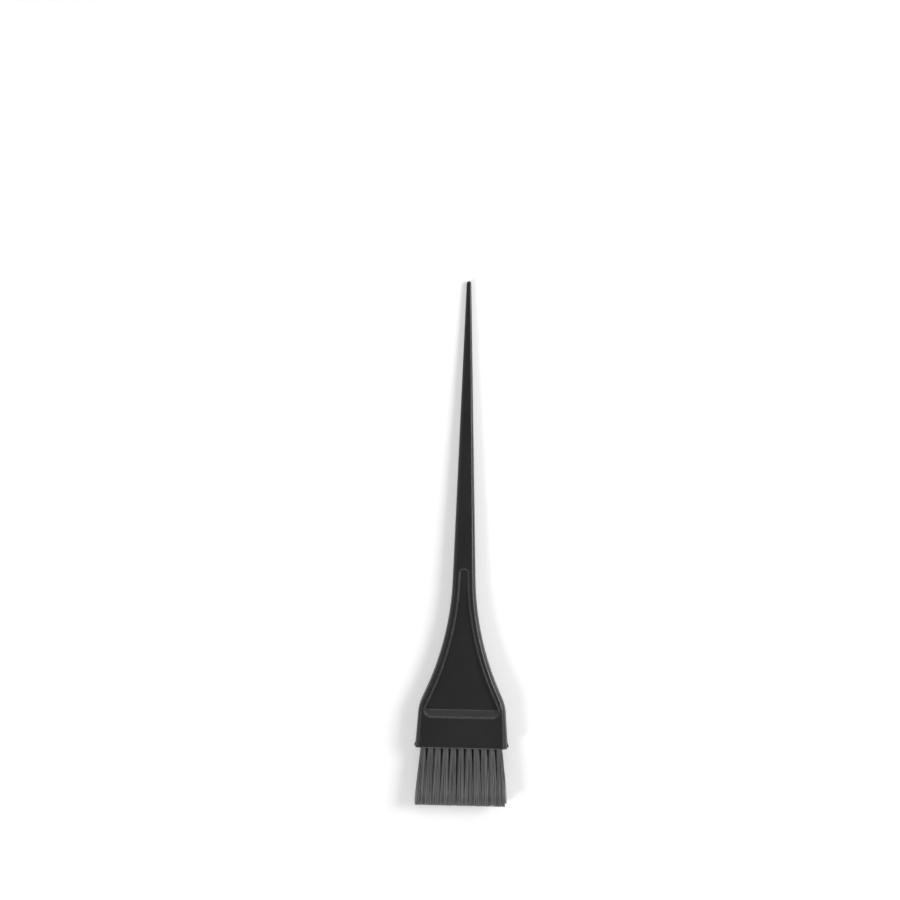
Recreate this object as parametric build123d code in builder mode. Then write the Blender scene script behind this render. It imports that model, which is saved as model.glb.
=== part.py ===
from build123d import *
from math import atan, atan2, cos, degrees, hypot, sin, tan
import os

os.makedirs("parts", exist_ok=True)

# Tint brush: a moulded handle with a flared flat head at one end and a long parting tail at
# the other. Three staggered rows of nylon tufts stand in blind holes in the head's mouth, and
# each tuft is folded over a flat wire anchor that bites into the wall of its hole.
#
# The brush lies on its flat back face: +Y runs to the tip of the tail, the bristles point
# to -Y, and +Z comes out of the front face. The origin is under the middle of the brush.

# Handle, measured along its parting plane from the mouth towards the tip of the tail
handle_length = 185.0
mouth_width = 36.9
mouth_thickness = 10.4
side_taper = 1.2  # the head narrows by this much on each side, from the mouth to the shoulder
shoulder_height = 16.6
shoulder_radius = 16.0
waist_height = 43.7
waist_width = 10.5
flare_radius = 115.0
tip_width = 1.85
tip_thickness = 2.2

# Rounding of the long edges: how far the flat faces stay inside the parting line
mouth_edge = 1.9
side_edge = 1.35
tip_edge = 0.5

# Panel sunk into the front face and the back face of the head
panel_start = 12.2
panel_end = 71.0
panel_rim = 2.7
panel_web = 5.6  # plastic left between the floors of the two panels
panel_draft = 5.0
panel_corner_radius = 2.8
panel_end_radius = 1.55
panel_edge_radius = 0.35
ramp_length = 2.8  # slope that carries the mouth end of the panel down to its floor
ramp_step = 0.9

# Blind holes for the tufts
hole_diameter = 2.3
hole_wall = 0.72  # plastic between neighbouring holes of a row
end_wall = 2.15  # least plastic between the end of a row and the parting line
face_wall = 1.44  # plastic between the outer rows and the flat faces, at the mouth
hole_floor = 2.2  # plastic between the end of a hole and the panel

# Tufts: filaments folded in two and driven into the holes
bristle_length = 23.0
tip_spread = 1.08  # the pack is this much wider at the tips than at the mouth
tip_gap = 0.3  # between neighbouring tufts at the tips
tuft_clearance = 0.03
fold_gap = 0.2
fold_radius = 0.7

# Anchors: short lengths of flat brass wire, one in the fold of each tuft
anchor_thickness = 0.35
anchor_height = 1.5
anchor_bite = 0.3
anchor_lift = 0.75  # thickness of the fold under the anchor

# Sizes and planes that follow
mouth_half = mouth_width / 2
waist_half = waist_width / 2
tip_half = tip_width / 2
mouth_rise = mouth_thickness / 2
tip_rise = tip_thickness / 2
lean = atan2(mouth_rise - tip_rise, handle_length)
brush_centre = (handle_length - bristle_length) / 2 * cos(lean)
shoulder_half = mouth_half - side_taper
flare_slope = (shoulder_half - waist_half) / (waist_height - shoulder_height)

parting = Plane(
    origin=(0, -brush_centre, mouth_rise * cos(lean)),
    x_dir=(1, 0, 0),
    z_dir=(0, sin(lean), cos(lean)),
)
mouth = Plane(origin=parting.origin, x_dir=(1, 0, 0), z_dir=-parting.y_dir)
side_view = Plane(origin=parting.origin, x_dir=parting.y_dir, z_dir=(1, 0, 0))

hole_depth = panel_start - hole_floor
hole_pitch = hole_diameter + hole_wall
row_spacing = mouth_rise - face_wall - hole_diameter / 2
tufts_per_row = int((mouth_width - 2 * end_wall + hole_wall) / hole_pitch)
nearest_hole = min(hole_pitch, hypot(hole_pitch / 2, row_spacing))

tuft_diameter = hole_diameter - 2 * tuft_clearance
tip_diameter = nearest_hole * tip_spread - tip_gap
tuft_depth = hole_depth - fold_gap
anchor_length = hole_diameter + 2 * anchor_bite
anchor_depth = tuft_depth - anchor_lift - anchor_height


def level(share):
    """Plane between the parting plane, at 0, and the flat front face, at 1."""
    slope = share * tan(lean)
    return parting.offset(share * mouth_rise).rotated((-degrees(atan(slope)), 0, 0))


def handle_outline(plane, share):
    """Outline of the handle on a plane, inside the parting line by a share of the rounding."""
    overrun = 2.0
    tip = tip_half - share * tip_edge
    start = mouth_half - share * mouth_edge + side_taper * overrun / shoulder_height
    with BuildSketch(plane) as outline:
        with BuildLine():
            side = FilletPolyline(
                (start, -overrun),
                (shoulder_half - share * side_edge, shoulder_height),
                (waist_half - share * side_edge, waist_height),
                (tip, handle_length - tip_half),
                radius=[shoulder_radius - share * side_edge, flare_radius + share * side_edge],
            )
            mirror(side, about=Plane.YZ)
            ThreePointArc(
                (tip, handle_length - tip_half),
                (0, handle_length - share * tip_edge),
                (-tip, handle_length - tip_half),
            )
            Line((start, -overrun), (-start, -overrun))
        make_face()
    return outline.sketch


def row_places(row):
    """Hole centres of a row on the mouth: 1 is the front row, 0 the middle and -1 the back."""
    count = tufts_per_row if row else tufts_per_row - 1
    first = -(count - 1) / 2 * hole_pitch
    return [(first + number * hole_pitch, row * row_spacing) for number in range(count)]


# The panel's shape, as a tool that is cut from the front half of the handle
with BuildPart() as panel:
    with BuildSketch(parting.offset(mouth_rise)) as panel_outline:
        with BuildLine():
            flare = FilletPolyline(
                (waist_half + flare_slope * waist_height, 0),
                (waist_half, waist_height),
                (tip_half, handle_length),
                radius=flare_radius,
            )
            mirror(flare, about=Plane.YZ)
            Line(flare @ 0, (-waist_half - flare_slope * waist_height, 0))
            Line(flare @ 1, (-tip_half, handle_length))
        make_face()
        offset(amount=-panel_rim)
        with Locations((0, (panel_start + panel_end) / 2)):
            Rectangle(mouth_width, panel_end - panel_start, mode=Mode.INTERSECT)
        fillet(panel_outline.vertices().group_by(Axis.Y)[0], panel_corner_radius)
        fillet(panel_outline.vertices().group_by(Axis.Y)[-1], panel_end_radius)
    extrude(amount=panel_web / 2 - mouth_rise, taper=panel_draft)
    with BuildSketch(side_view):
        with BuildLine():
            Polyline(
                (panel_start - ramp_length, panel_web / 2),
                (panel_start + ramp_length, panel_web / 2),
                (panel_start, mouth_rise - ramp_step),
                (panel_start - ramp_length, mouth_rise - ramp_step),
                close=True,
            )
        make_face()
    extrude(amount=mouth_width / 2, both=True, mode=Mode.SUBTRACT)

# Handle: half of it is lofted from the parting line up to the flat face, and mirrored
rounding = ((0, 0), (0.62, 0.12), (0.88, 0.38), (1, 1))
half_outlines = [handle_outline(level(height), share) for height, share in rounding]
with BuildPart() as handle:
    loft(half_outlines)
    split(bisect_by=mouth, keep=Keep.BOTTOM)
    add(panel.part, mode=Mode.SUBTRACT)
    front_face = handle.faces().filter_by(lambda face: face.inner_wires())[0]
    fillet(front_face.inner_wires()[0].edges(), panel_edge_radius)
    mirror(about=parting)
    for row in (-1, 0, 1):
        with BuildSketch(mouth):
            with Locations(row_places(row)):
                Circle(hole_diameter / 2)
        extrude(amount=-hole_depth, mode=Mode.SUBTRACT)
        with BuildSketch(mouth):
            with Locations(row_places(row)):
                Rectangle(anchor_thickness, anchor_length)
        extrude(amount=-anchor_depth - anchor_height, mode=Mode.SUBTRACT)

handle.part.label = "handle"
export_step(handle.part, "parts/handle.step")


def make_tuft(name, place):
    """One tuft: a round folded root in its hole, and a free part that opens to the tips."""
    with BuildPart() as tuft:
        with BuildSketch(mouth.offset(-tuft_depth)):
            with Locations(place):
                Circle(tuft_diameter / 2)
        extrude(amount=tuft_depth)
        fold = tuft.edges().sort_by(Axis(mouth.origin, mouth.z_dir))[0]
        fillet(fold, fold_radius)
        with BuildSketch(mouth):
            with Locations(place):
                Circle(tuft_diameter / 2)
        with BuildSketch(mouth.offset(bristle_length)):
            with Locations((place[0] * tip_spread, place[1] * tip_spread)):
                Circle(tip_diameter / 2)
        loft()
        with BuildSketch(mouth.offset(-anchor_depth)):
            with Locations(place):
                Rectangle(anchor_thickness, anchor_length)
        extrude(amount=-anchor_height, mode=Mode.SUBTRACT)
    tuft.part.label = name
    export_step(tuft.part, f"parts/{name}.step")


def make_anchors(name, row):
    """The anchors of one row, as separate lengths of wire across their holes."""
    with BuildPart() as anchors:
        with BuildSketch(mouth.offset(-anchor_depth)):
            with Locations(row_places(row)):
                Rectangle(anchor_thickness, anchor_length)
        extrude(amount=-anchor_height)
    anchors.part.label = name
    export_step(anchors.part, f"parts/{name}.step")


for row_name, row in (("front", 1), ("middle", 0), ("back", -1)):
    for number, place in enumerate(row_places(row), start=1):
        make_tuft(f"{row_name}_tuft_{number:02d}", place)
    make_anchors(f"{row_name}_row_anchors", row)
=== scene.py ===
import random
from math import atan2, ceil, cos, hypot, pi, radians, sin

import bmesh
import bpy
from mathutils import Matrix, Vector


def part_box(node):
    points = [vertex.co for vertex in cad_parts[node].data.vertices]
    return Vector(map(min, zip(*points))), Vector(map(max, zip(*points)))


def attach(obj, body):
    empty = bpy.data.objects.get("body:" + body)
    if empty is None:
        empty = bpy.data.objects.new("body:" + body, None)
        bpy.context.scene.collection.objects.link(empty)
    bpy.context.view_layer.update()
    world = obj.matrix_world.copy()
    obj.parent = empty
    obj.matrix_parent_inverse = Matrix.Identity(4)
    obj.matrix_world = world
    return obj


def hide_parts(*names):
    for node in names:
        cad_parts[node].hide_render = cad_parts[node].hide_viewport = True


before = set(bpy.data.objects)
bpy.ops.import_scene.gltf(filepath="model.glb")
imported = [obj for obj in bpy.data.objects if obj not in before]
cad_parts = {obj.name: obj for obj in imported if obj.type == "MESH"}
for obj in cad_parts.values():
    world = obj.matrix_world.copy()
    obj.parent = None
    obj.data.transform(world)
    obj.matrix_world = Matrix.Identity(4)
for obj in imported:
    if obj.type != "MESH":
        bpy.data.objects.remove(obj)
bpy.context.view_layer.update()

# ---------------------------------------------------------------------------------------------
# Handle: one moulding in black polypropylene, with a flared head, a waist and a long tail.
# It comes out of a polished mould in two halves, so it is satin all over, with rubbed edges that
# are painted lighter, partly as wear and partly as a painted highlight, and a thin parting line
# round its sides.

millimetre = 0.001
handle_length = 185 * millimetre
mouth_rise = 5.2 * millimetre
tail_rise = 1.1 * millimetre
lean = atan2(mouth_rise - tail_rise, handle_length)
out_of_mouth = Vector((0, -cos(lean), sin(lean)))
through_head = Vector((0, sin(lean), cos(lean)))
across_head = Vector((1, 0, 0))
mouth_centre = Vector((0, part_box("handle")[0].y + mouth_rise * sin(lean), mouth_rise * cos(lean)))

plastic_refraction = 1.49
plastic_dark = (0.0075, 0.0064, 0.0069, 1)
plastic_light = (0.0135, 0.0118, 0.0126, 1)
# pale colour along the edges: partly rubbed plastic, partly a painted highlight along the rims
rubbed_and_highlit_plastic = (0.19, 0.184, 0.187, 1)
rubbed_and_highlit_width = 0.6 * millimetre
plastic_dust = (0.06, 0.058, 0.056, 1)
dust_spacing = 1.3 * millimetre
streak_width = 0.3 * millimetre
streak_dulling = 0.07
polished_roughness = 0.28
dull_roughness = 0.38
polished_cloud, dull_cloud = 0.3, 0.7
grain_size = 0.22 * millimetre
grain_depth = 0.04 * millimetre
grain_strength = 0.25
parting_half_width = 0.02 * millimetre
parting_foot = 0.12 * millimetre
parting_height = 0.06 * millimetre
parting_strength = 0.8


def add_node(tree, kind, inputs, **settings):
    """A new node. Each input is a plain value or the output of another node."""
    node = tree.nodes.new(kind)
    for setting, value in settings.items():
        setattr(node, setting, value)
    for socket, given in inputs.items():
        if isinstance(given, bpy.types.NodeSocket):
            tree.links.new(given, node.inputs[socket])
        else:
            node.inputs[socket].default_value = given
    return node


def work_out(tree, operation, *numbers):
    """The result of one sum on plain numbers or outputs."""
    node = add_node(tree, "ShaderNodeMath", dict(enumerate(numbers)), operation=operation)
    return node.outputs[0]


def dot_product(tree, first, second):
    node = add_node(tree, "ShaderNodeVectorMath", {0: first, 1: second}, operation="DOT_PRODUCT")
    return node.outputs["Value"]


def remap(tree, value, start, end, low=0.0, high=1.0, interpolation="LINEAR"):
    """Low where the value is at start, high where it is at end, and held there beyond them."""
    inputs = {"Value": value, "From Min": start, "From Max": end, "To Min": low, "To Max": high}
    node = add_node(tree, "ShaderNodeMapRange", inputs, interpolation_type=interpolation)
    return node.outputs["Result"]


def noise(tree, place, per_metre, detail):
    inputs = {"Vector": place, "Scale": per_metre, "Detail": detail}
    return add_node(tree, "ShaderNodeTexNoise", inputs).outputs["Fac"]


def mix_colours(tree, share, first, second):
    inputs = {"Factor": share, "A": first, "B": second}
    return add_node(tree, "ShaderNodeMix", inputs, data_type="RGBA").outputs["Result"]


def new_group(name, inputs, outputs):
    """An empty shader node group, with a Vector and these named values going in."""
    group = bpy.data.node_groups.new(name, "ShaderNodeTree")
    group.interface.new_socket("Vector", in_out="INPUT", socket_type="NodeSocketVector")
    for label, usual in inputs.items():
        socket = group.interface.new_socket(label, in_out="INPUT", socket_type="NodeSocketFloat")
        socket.default_value = usual
    for label in outputs:
        group.interface.new_socket(label, in_out="OUTPUT", socket_type="NodeSocketFloat")
    given = group.nodes.new("NodeGroupInput").outputs
    result = group.nodes.new("NodeGroupOutput").inputs
    return group, given, result


def moulded_grain_group():
    """Height of a moulded skin: slow waves from the mould's polish under a fine even grain."""
    waves_per_metre = 160
    clouds_per_metre = 45
    fine_share = 0.25
    usual = {"Grain Size": 0.2 * millimetre}
    group, given, result = new_group("moulded_grain", usual, ["Height", "Cloud"])
    grains_per_metre = work_out(group, "DIVIDE", 1.0, given["Grain Size"])
    fine = noise(group, given["Vector"], grains_per_metre, detail=2)
    waves = noise(group, given["Vector"], waves_per_metre, detail=1)
    height = work_out(group, "MULTIPLY_ADD", fine, fine_share, waves)
    group.links.new(height, result["Height"])
    cloud = noise(group, given["Vector"], clouds_per_metre, detail=4)
    group.links.new(cloud, result["Cloud"])
    return group


def edge_wear_and_highlight_group():
    """Mask of rubbed edges, which on the plastic also carries a painted highlight line: 1 where the
    surface turns sharply, broken up by noise.
    """
    turn_unmarked = 0.998  # cosine between the surface as it is and as rubbing would round it
    turn_fully_marked = 0.93
    patches_per_metre = 900
    patch_low, patch_high = 0.3, 0.6
    least_left = 0.45
    group, given, result = new_group("edge_wear_and_highlight", {"Radius": 0.4 * millimetre}, ["Wear"])
    rounded = add_node(group, "ShaderNodeBevel", {"Radius": given["Radius"]}, samples=6)
    surface = add_node(group, "ShaderNodeNewGeometry", {})
    agreement = dot_product(group, rounded.outputs["Normal"], surface.outputs["Normal"])
    edge = remap(group, agreement, turn_unmarked, turn_fully_marked)
    patches = noise(group, given["Vector"], patches_per_metre, detail=5)
    uneven = remap(group, patches, patch_low, patch_high, low=least_left)
    group.links.new(work_out(group, "MULTIPLY", edge, uneven), result["Wear"])
    return group


def handling_marks_group():
    """Masks of use: sparse specks of dust, and fine rubbed streaks that run along the brush."""
    speck_core, speck_rim = 0.05, 0.13  # in spacings from the middle of a speck
    drifts_per_metre = 140
    drift_low, drift_high = 0.5, 0.68
    streak_low, streak_high = 0.5, 0.75
    drawn_out = (1, 0.03, 1)
    usual = {"Speck Spacing": 1.2 * millimetre, "Streak Width": 0.3 * millimetre}
    group, given, result = new_group("handling_marks", usual, ["Specks", "Streaks"])
    specks_per_metre = work_out(group, "DIVIDE", 1.0, given["Speck Spacing"])
    cells = {"Vector": given["Vector"], "Scale": specks_per_metre}
    from_middle = add_node(group, "ShaderNodeTexVoronoi", cells).outputs["Distance"]
    speck = remap(group, from_middle, speck_core, speck_rim, low=1.0, high=0.0)
    drifts = noise(group, given["Vector"], drifts_per_metre, detail=3)
    gathered = remap(group, drifts, drift_low, drift_high)
    group.links.new(work_out(group, "MULTIPLY", speck, gathered), result["Specks"])
    lengthwise = {"Vector": given["Vector"], "Scale": drawn_out}
    drawn = add_node(group, "ShaderNodeMapping", lengthwise).outputs["Vector"]
    streaks_per_metre = work_out(group, "DIVIDE", 1.0, given["Streak Width"])
    rubbed = noise(group, drawn, streaks_per_metre, detail=4)
    group.links.new(remap(group, rubbed, streak_low, streak_high), result["Streaks"])
    return group


moulded_grain = moulded_grain_group()
edge_wear_and_highlight = edge_wear_and_highlight_group()
handling_marks = handling_marks_group()


def use_group(tree, group, values):
    """The outputs of an effect placed in a material, with the material's own values."""
    effect = tree.nodes.new("ShaderNodeGroup")
    effect.node_tree = group
    place = add_node(tree, "ShaderNodeTexCoord", {}).outputs["Object"]
    tree.links.new(place, effect.inputs["Vector"])
    for socket, value in values.items():
        effect.inputs[socket].default_value = value
    return effect.outputs


def new_material(name, values):
    """A material whose shader has these plain values on its own sockets."""
    material = bpy.data.materials.new(name)
    material.use_nodes = True
    shader = material.node_tree.nodes["Principled BSDF"]
    for socket, value in values.items():
        shader.inputs[socket].default_value = value
    return material, material.node_tree, shader


def black_polypropylene():
    material, tree, shader = new_material("black_polypropylene", {"IOR": plastic_refraction})
    grain = use_group(tree, moulded_grain, {"Grain Size": grain_size})
    wear_and_highlight = use_group(tree, edge_wear_and_highlight, {"Radius": rubbed_and_highlit_width})
    mark_sizes = {"Speck Spacing": dust_spacing, "Streak Width": streak_width}
    marks = use_group(tree, handling_marks, mark_sizes)

    clouded = mix_colours(tree, grain["Cloud"], plastic_dark, plastic_light)
    # the edges are painted much lighter than the plastic: partly wear, partly a painted highlight
    # along the rims
    rubbed_and_highlit = mix_colours(tree, wear_and_highlight["Wear"], clouded, rubbed_and_highlit_plastic)
    dusty = mix_colours(tree, marks["Specks"], rubbed_and_highlit, plastic_dust)
    tree.links.new(dusty, shader.inputs["Base Color"])

    satin = remap(
        tree, grain["Cloud"], polished_cloud, dull_cloud, polished_roughness, dull_roughness
    )
    roughness = work_out(tree, "MULTIPLY_ADD", marks["Streaks"], streak_dulling, satin)
    tree.links.new(roughness, shader.inputs["Roughness"])

    place = add_node(tree, "ShaderNodeTexCoord", {}).outputs["Object"]
    level = dot_product(tree, place, through_head)
    above_parting = work_out(tree, "SUBTRACT", level, through_head.dot(mouth_centre))
    off_parting = work_out(tree, "ABSOLUTE", above_parting)
    ridge = remap(tree, off_parting, parting_half_width, parting_foot, 1.0, 0.0, "SMOOTHSTEP")
    parting = {"Strength": parting_strength, "Distance": parting_height, "Height": ridge}
    parted = add_node(tree, "ShaderNodeBump", parting).outputs["Normal"]
    skin = {"Strength": grain_strength, "Distance": grain_depth, "Height": grain["Height"]}
    skinned = add_node(tree, "ShaderNodeBump", {**skin, "Normal": parted}).outputs["Normal"]
    tree.links.new(skinned, shader.inputs["Normal"])
    return material


polypropylene = black_polypropylene()
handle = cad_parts["handle"]
handle.data.materials.clear()
handle.data.materials.append(polypropylene)

# ---------------------------------------------------------------------------------------------
# Flash: where the two halves of the mould meet, a thin fin of the same plastic is left at each
# corner of the mouth. It is part of the moulding and is only broken off roughly.

fin_reach = 0.42 * millimetre
fin_chipped_reach = 0.4 * fin_reach
fin_length = 2.2 * millimetre
fin_tip = 0.5 * millimetre
fin_thickness = 0.3 * millimetre
fin_root = 0.25 * millimetre
fin_rounding = 0.06 * millimetre
mouth_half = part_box("handle")[1].x


def new_object(name, bm):
    """The finished bmesh as an object at the origin."""
    mesh = bpy.data.meshes.new(name)
    bm.to_mesh(mesh)
    bm.free()
    made = bpy.data.objects.new(name, mesh)
    bpy.context.scene.collection.objects.link(made)
    return made


bm = bmesh.new()
fin_corners = (
    (mouth_half - fin_root, 0),
    (mouth_half + fin_chipped_reach, 0),
    (mouth_half + fin_reach, fin_tip),
    (mouth_half - fin_root, fin_length),
)
profile = []
for across, up in fin_corners:
    profile.append(bm.verts.new(mouth_centre + across_head * across - out_of_mouth * up))
fin = bm.faces.new(profile)
grown = bmesh.ops.extrude_face_region(bm, geom=[fin])["geom"]
grown = [item for item in grown if isinstance(item, bmesh.types.BMVert)]
bmesh.ops.translate(bm, verts=grown, vec=through_head * fin_thickness)
bmesh.ops.translate(bm, verts=bm.verts, vec=through_head * -fin_thickness / 2)
bmesh.ops.bevel(
    bm,
    geom=bm.edges[:],
    offset=fin_rounding,
    offset_type="OFFSET",
    segments=2,
    profile=0.5,
    affect="EDGES",
    material=-1,
)
bmesh.ops.mirror(bm, geom=bm.verts[:] + bm.edges[:] + bm.faces[:], axis="X", merge_dist=-1)
bmesh.ops.recalc_face_normals(bm, faces=bm.faces)
flash = new_object("mouth_flash", bm)
flash.data.materials.append(polypropylene)
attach(flash, "root")

# ---------------------------------------------------------------------------------------------
# Tufts: 32 bundles of black nylon filament. Each filament is folded in two over a flat wire
# anchor at the bottom of a blind hole, so that both its ends stand out of the mouth, where the
# whole pack is cut square.

hole_pitch = 3.02 * millimetre
end_tuft_start = 14 * millimetre  # a tuft further out than this is the last of its row
row_spacing = 2.61 * millimetre
bristle_length = 23 * millimetre
tuft_radius = 1.12 * millimetre
anchor_half = 0.175 * millimetre
anchor_foot = 9.05 * millimetre

filament_radius = 0.108 * millimetre
filament_gap = 0.02 * millimetre
filament_sides = 6
packed_rise = 0.866  # from one packed line of filaments to the next, in steps along the line
fold_squeeze = 0.72  # how much closer the legs run beside the anchor than in the mouth
fold_depth = 0.7  # how deep the fold hangs, for its half width
fold_steps = 4
free_steps = 4

tip_spread = 1.08  # how much wider the whole pack is at its tips
tip_opening = 1.85  # how much wider a tuft is at its tips, along its row
edge_opening = 1.45  # the same, on the outer side of the last tuft of a row
row_opening = 1.58  # the same, towards the next row
opening_start = 1.45  # a filament leans most where it leaves the mouth
tip_wander = 0.15 * millimetre
stray_wander = 0.45 * millimetre
stray_share = 0.05
splay_least = 0.4 * millimetre
splay_most = 1.1 * millimetre
splay_share = 0.08
bow_across = 0.13 * millimetre
bow_through = 0.1 * millimetre
cut_short = 0.12 * millimetre
cut_long = 0.05 * millimetre

nylon_refraction = 1.53
nylon_roughness = 0.38
# dark grey rather than the nylon's own near black: the lift is a painted sheen of the filaments
nylon_dark_and_painted_sheen = (0.105, 0.101, 0.105, 1)
nylon_light_and_painted_sheen = (0.185, 0.179, 0.185, 1)
nylon_at_tips = (0.29, 0.28, 0.288, 1)
lightening_start = 0.55  # the share of a leg, from the fold, that is not yet lighter
lightening_most = 0.55


def filament_blank(rings):
    """A straight filament of unit length along Z, with a ring of points at each step."""
    mesh = bpy.data.meshes.new("filament_blank")
    bm = bmesh.new()
    bmesh.ops.create_cone(
        bm,
        cap_ends=True,
        segments=filament_sides,
        radius1=filament_radius,
        radius2=filament_radius,
        depth=1,
    )
    lengthwise = [edge for edge in bm.edges if edge.calc_length() > 0.5]
    bmesh.ops.subdivide_edges(bm, edges=lengthwise, cuts=rings - 2, use_grid_fill=True)
    bm.loops.layers.uv.new("filament")
    bm.to_mesh(mesh)
    bm.free()
    return mesh


def bundle_places(radius):
    """Close-packed places on one side of a round bundle: the other legs mirror them."""
    step = 2 * filament_radius + filament_gap
    reach = ceil(radius / step)
    places = []
    for line in range(-reach, reach + 1):
        for number in range(0, reach + 1):
            across = (number + 0.5 + 0.5 * (line % 2)) * step
            rise = line * step * packed_rise
            if hypot(across, rise) < radius - filament_radius:
                places.append((across, rise))
    return places


def free_leg(root, side, hole, tip, bow):
    """Centre line of one leg of a filament, from its tip down to the mouth."""
    leg = []
    for step in range(free_steps + 1):
        share = 1 - step / free_steps
        ease = opening_start * share + (1 - opening_start) * share ** 2
        bend = sin(pi * share)
        across = side * root[0] * (1 - ease) + tip[0] * ease + bow[0] * bend
        rise = root[1] * (1 - ease) + tip[1] * ease + bow[1] * bend
        out = out_of_mouth * bristle_length * share
        leg.append(hole + across_head * across + through_head * rise + out)
    return leg


def filament_path(root, hole, tips, bows):
    """Centre line of a folded filament, from one tip down round the anchor to the other tip."""
    left_leg, right_leg = (
        free_leg(root, side, hole, tip, bow) for side, tip, bow in zip((-1, 1), tips, bows)
    )
    beside_anchor = anchor_half + filament_radius + root[0] * fold_squeeze
    fold = []
    for step in range(fold_steps):
        turn = pi * step / (fold_steps - 1)
        across = -beside_anchor * cos(turn)
        depth = anchor_foot + fold_depth * beside_anchor * sin(turn)
        fold.append(hole + across_head * across + through_head * root[1] - out_of_mouth * depth)
    return left_leg + fold + right_leg[::-1]


def make_tuft(name, across, row, dice):
    """One tuft as real filaments, rooted in its hole and opening towards the tips."""
    rings = 2 * (free_steps + 1) + fold_steps
    steps = rings - 1
    blank = filament_blank(rings)
    hole = mouth_centre + across_head * across + through_head * row * row_spacing
    drift = (across * (tip_spread - 1), row * row_spacing * (tip_spread - 1))
    end_side = (across > end_tuft_start) - (across < -end_tuft_start)
    bm = bmesh.new()
    uv = bm.loops.layers.uv.new("filament")
    for root in bundle_places(tuft_radius):
        tips = []
        bows = []
        for side in (-1, 1):
            opening = edge_opening if side == end_side else tip_opening
            wander = stray_wander if dice.random() < stray_share else tip_wander
            tip_across = drift[0] + side * root[0] * opening + dice.gauss(0, wander)
            if side == end_side and dice.random() < splay_share:
                tip_across += side * dice.uniform(splay_least, splay_most)
            tip_rise = drift[1] + root[1] * row_opening + dice.gauss(0, tip_wander)
            tips.append((tip_across, tip_rise))
            bows.append((dice.gauss(0, bow_across), dice.gauss(0, bow_through)))
        path = filament_path(root, hole, tips, bows)
        for end in (0, -1):
            path[end] = path[end] + out_of_mouth * dice.uniform(-cut_short, cut_long)
        shade = dice.random()
        first_vert, first_face = len(bm.verts), len(bm.faces)
        bm.from_mesh(blank)
        bm.verts.ensure_lookup_table()
        bm.faces.ensure_lookup_table()
        along = {}
        for vert in bm.verts[first_vert:]:
            ring = round((vert.co.z + 0.5) * steps)
            before, after = path[max(ring - 1, 0)], path[min(ring + 1, steps)]
            # sideways, through_head and the way along the filament are turned like the blank's
            # own X, Y and Z, so the faces still point outwards
            sideways = through_head.cross(after - before).normalized()
            vert.co = path[ring] + sideways * vert.co.x + through_head * vert.co.y
            along[vert] = abs(2 * ring / steps - 1)
        for face in bm.faces[first_face:]:
            face.smooth = len(face.verts) == 4
            for loop in face.loops:
                loop[uv].uv = (shade, along[loop.vert])
    bpy.data.meshes.remove(blank)
    return new_object(name, bm)


def black_nylon_painted_sheen():
    """The filament's own shade is its UV map's X, and the way from fold to tip is its Y. Its grey
    is lifted above the nylon's own near black as a painted sheen.
    """
    plain = {"IOR": nylon_refraction, "Roughness": nylon_roughness}
    material, tree, shader = new_material("black_nylon_painted_sheen", plain)
    own = add_node(tree, "ShaderNodeUVMap", {}, uv_map="filament").outputs["UV"]
    split = add_node(tree, "ShaderNodeSeparateXYZ", {"Vector": own}).outputs
    tint = mix_colours(tree, split["X"], nylon_dark_and_painted_sheen, nylon_light_and_painted_sheen)
    # each leg grows lighter towards its tip
    towards_tips = remap(tree, split["Y"], lightening_start, 1.0, 0.0, lightening_most, "SMOOTHSTEP")
    tree.links.new(mix_colours(tree, towards_tips, tint, nylon_at_tips), shader.inputs["Base Color"])
    return material


nylon = black_nylon_painted_sheen()
dice = random.Random(7)
for row_name, row in (("front", 1), ("middle", 0), ("back", -1)):
    names = sorted(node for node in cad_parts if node.startswith(row_name + "_tuft_"))
    for number, node in enumerate(names):
        across = (number - (len(names) - 1) / 2) * hole_pitch
        tuft = make_tuft(node + "_filaments", across, row, dice)
        tuft.data.materials.append(nylon)
        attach(tuft, "root")
        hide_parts(node)

# ---------------------------------------------------------------------------------------------
# Anchors: short lengths of flat brass wire, cropped and driven across the folds of the tufts.
# They keep the dull finish of drawn wire, and are rubbed bright along their edges.

brass_dull = (0.62, 0.45, 0.21, 1)
brass_bright = (0.83, 0.68, 0.38, 1)
brass_bright_width = 0.08 * millimetre
brass_roughness = 0.32


def brass_wire():
    plain = {"Metallic": 1.0, "Roughness": brass_roughness}
    material, tree, shader = new_material("brass_wire", plain)
    wear_and_highlight = use_group(tree, edge_wear_and_highlight, {"Radius": brass_bright_width})
    colour = mix_colours(tree, wear_and_highlight["Wear"], brass_dull, brass_bright)
    tree.links.new(colour, shader.inputs["Base Color"])
    return material


brass = brass_wire()
for row_name in ("front", "middle", "back"):
    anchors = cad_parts[row_name + "_row_anchors"]
    anchors.data.materials.clear()
    anchors.data.materials.append(brass)

# ---------------------------------------------------------------------------------------------
# Floor: a plain white sheet under the brush. It shows white to the camera and in reflections,
# and keeps the soft shadow under the brush.

floor_half = 20
sheet_white = (0.88, 0.88, 0.88, 1)
sheet_roughness = 0.9
sheet_specular = 0.1
near_reach = 0.4
near_lift = 0.25
far_reach = 2.0
far_lift = 0.75


def looked_at(tree):
    """1 for what is seen directly, in a reflection or through glass, 0 for what only lights."""
    path = add_node(tree, "ShaderNodeLightPath", {}).outputs
    direct = work_out(tree, "MAXIMUM", path["Is Camera Ray"], path["Is Glossy Ray"])
    return work_out(tree, "MAXIMUM", direct, path["Is Transmission Ray"])


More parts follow.
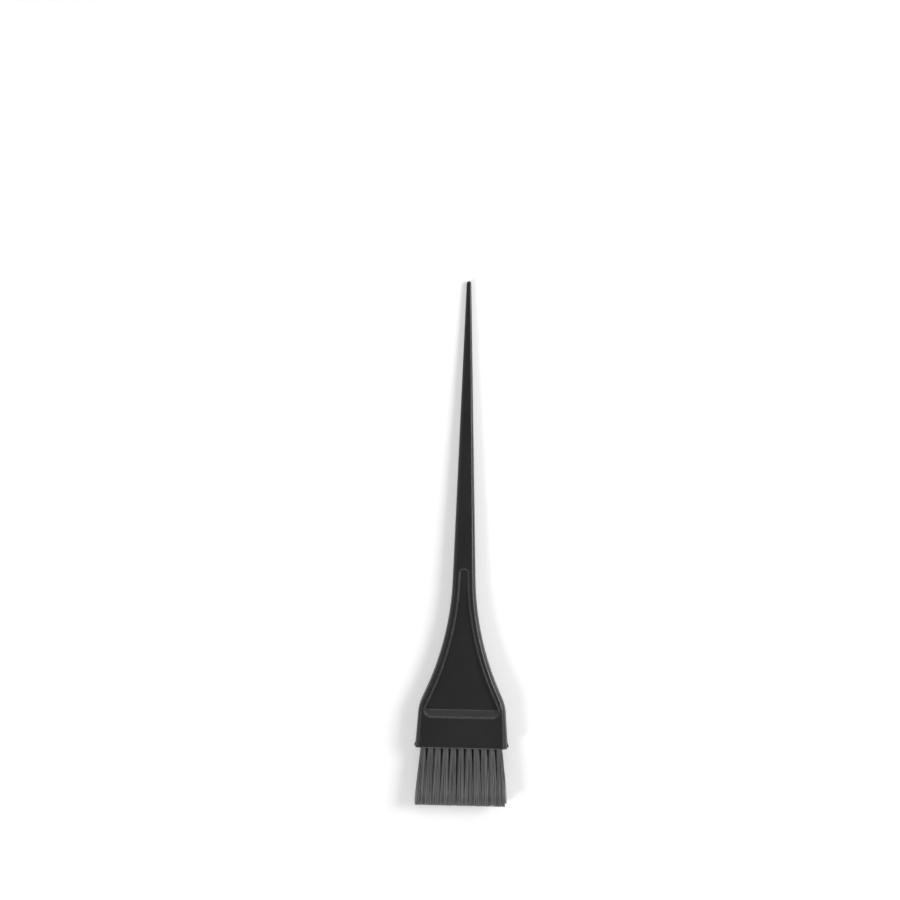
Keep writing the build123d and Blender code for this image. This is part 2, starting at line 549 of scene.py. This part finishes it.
def white_sheet():
    """White paper, with a lift for looked-at rays that grows towards the horizon."""
    plain = {"Base Color": sheet_white, "Roughness": sheet_roughness}
    plain["Specular IOR Level"] = sheet_specular
    material, tree, shader = new_material("white_sheet", plain)
    place = add_node(tree, "ShaderNodeTexCoord", {}).outputs["Object"]
    reach = add_node(tree, "ShaderNodeVectorMath", {0: place}, operation="LENGTH").outputs["Value"]
    lift_here = remap(tree, reach, near_reach, far_reach, near_lift, far_lift)
    lift_seen = work_out(tree, "MULTIPLY", looked_at(tree), lift_here)
    lift = add_node(tree, "ShaderNodeEmission", {"Strength": lift_seen})
    total = add_node(tree, "ShaderNodeAddShader", {0: shader.outputs[0], 1: lift.outputs[0]})
    tree.links.new(total.outputs[0], tree.nodes["Material Output"].inputs["Surface"])
    return material


bm = bmesh.new()
bmesh.ops.create_grid(bm, x_segments=1, y_segments=1, size=floor_half)
floor = new_object("floor", bm)
floor.data.materials.append(white_sheet())

# ---------------------------------------------------------------------------------------------
# Light: a soft even room with a white backdrop all round at the horizon, the main lamp on the
# right, a broad weak one beyond the tail and a small one on the left.

room_strength = 0.31
backdrop_strength = 0.66
backdrop_top = 0.3  # the backdrop fades out from this height to the next, of a unit dome
backdrop_gone = 0.5

world = bpy.data.worlds.new("studio")
bpy.context.scene.world = world
world.use_nodes = True
room = world.node_tree
direction = add_node(room, "ShaderNodeTexCoord", {}).outputs["Generated"]
height = add_node(room, "ShaderNodeSeparateXYZ", {"Vector": direction}).outputs["Z"]
backdrop = remap(room, height, backdrop_top, backdrop_gone, backdrop_strength, 0.0)
strength = work_out(room, "MULTIPLY_ADD", backdrop, looked_at(room), room_strength)
room.nodes["Background"].inputs["Color"].default_value = (1, 1, 1, 1)
room.links.new(strength, room.nodes["Background"].inputs["Strength"])


def softbox(name, place, size, power):
    """A square lamp that faces the brush."""
    data = bpy.data.lights.new(name, "AREA")
    data.size = size
    data.energy = power
    lamp = bpy.data.objects.new(name, data)
    bpy.context.scene.collection.objects.link(lamp)
    lamp.location = place
    lamp.rotation_euler = Vector(place).to_track_quat("Z", "Y").to_euler()


softbox("right_softbox", place=(0.85, 0.25, 0.8), size=0.5, power=8.5)
softbox("tail_softbox", place=(-0.1, 1.05, 0.75), size=0.7, power=1.6)
softbox("left_softbox", place=(-0.7, -0.5, 0.8), size=0.3, power=4.0)

# ---------------------------------------------------------------------------------------------
# Camera: a long lens almost straight above the brush, with the tail up. It stands about two
# degrees off upright, towards the right and the tail, and is turned by less than one.

aim = Vector((-0.00637, 0.0370, 0.005))
distance = 0.777
lens = 78.5
nearest = 0.01
lean_across = radians(2.2)
lean_along = radians(-2.18)
turned = radians(0.89)

camera_data = bpy.data.cameras.new("camera")
camera_data.lens = lens
camera_data.clip_start = nearest
camera = bpy.data.objects.new("camera", camera_data)
bpy.context.scene.collection.objects.link(camera)
turn = Matrix.Rotation(lean_across, 4, "Y") @ Matrix.Rotation(lean_along, 4, "X")
turn = turn @ Matrix.Rotation(turned, 4, "Z")
camera.matrix_world = Matrix.Translation(aim) @ turn @ Matrix.Translation((0, 0, distance))
bpy.context.scene.camera = camera
bpy.context.scene.view_settings.view_transform = "Standard"
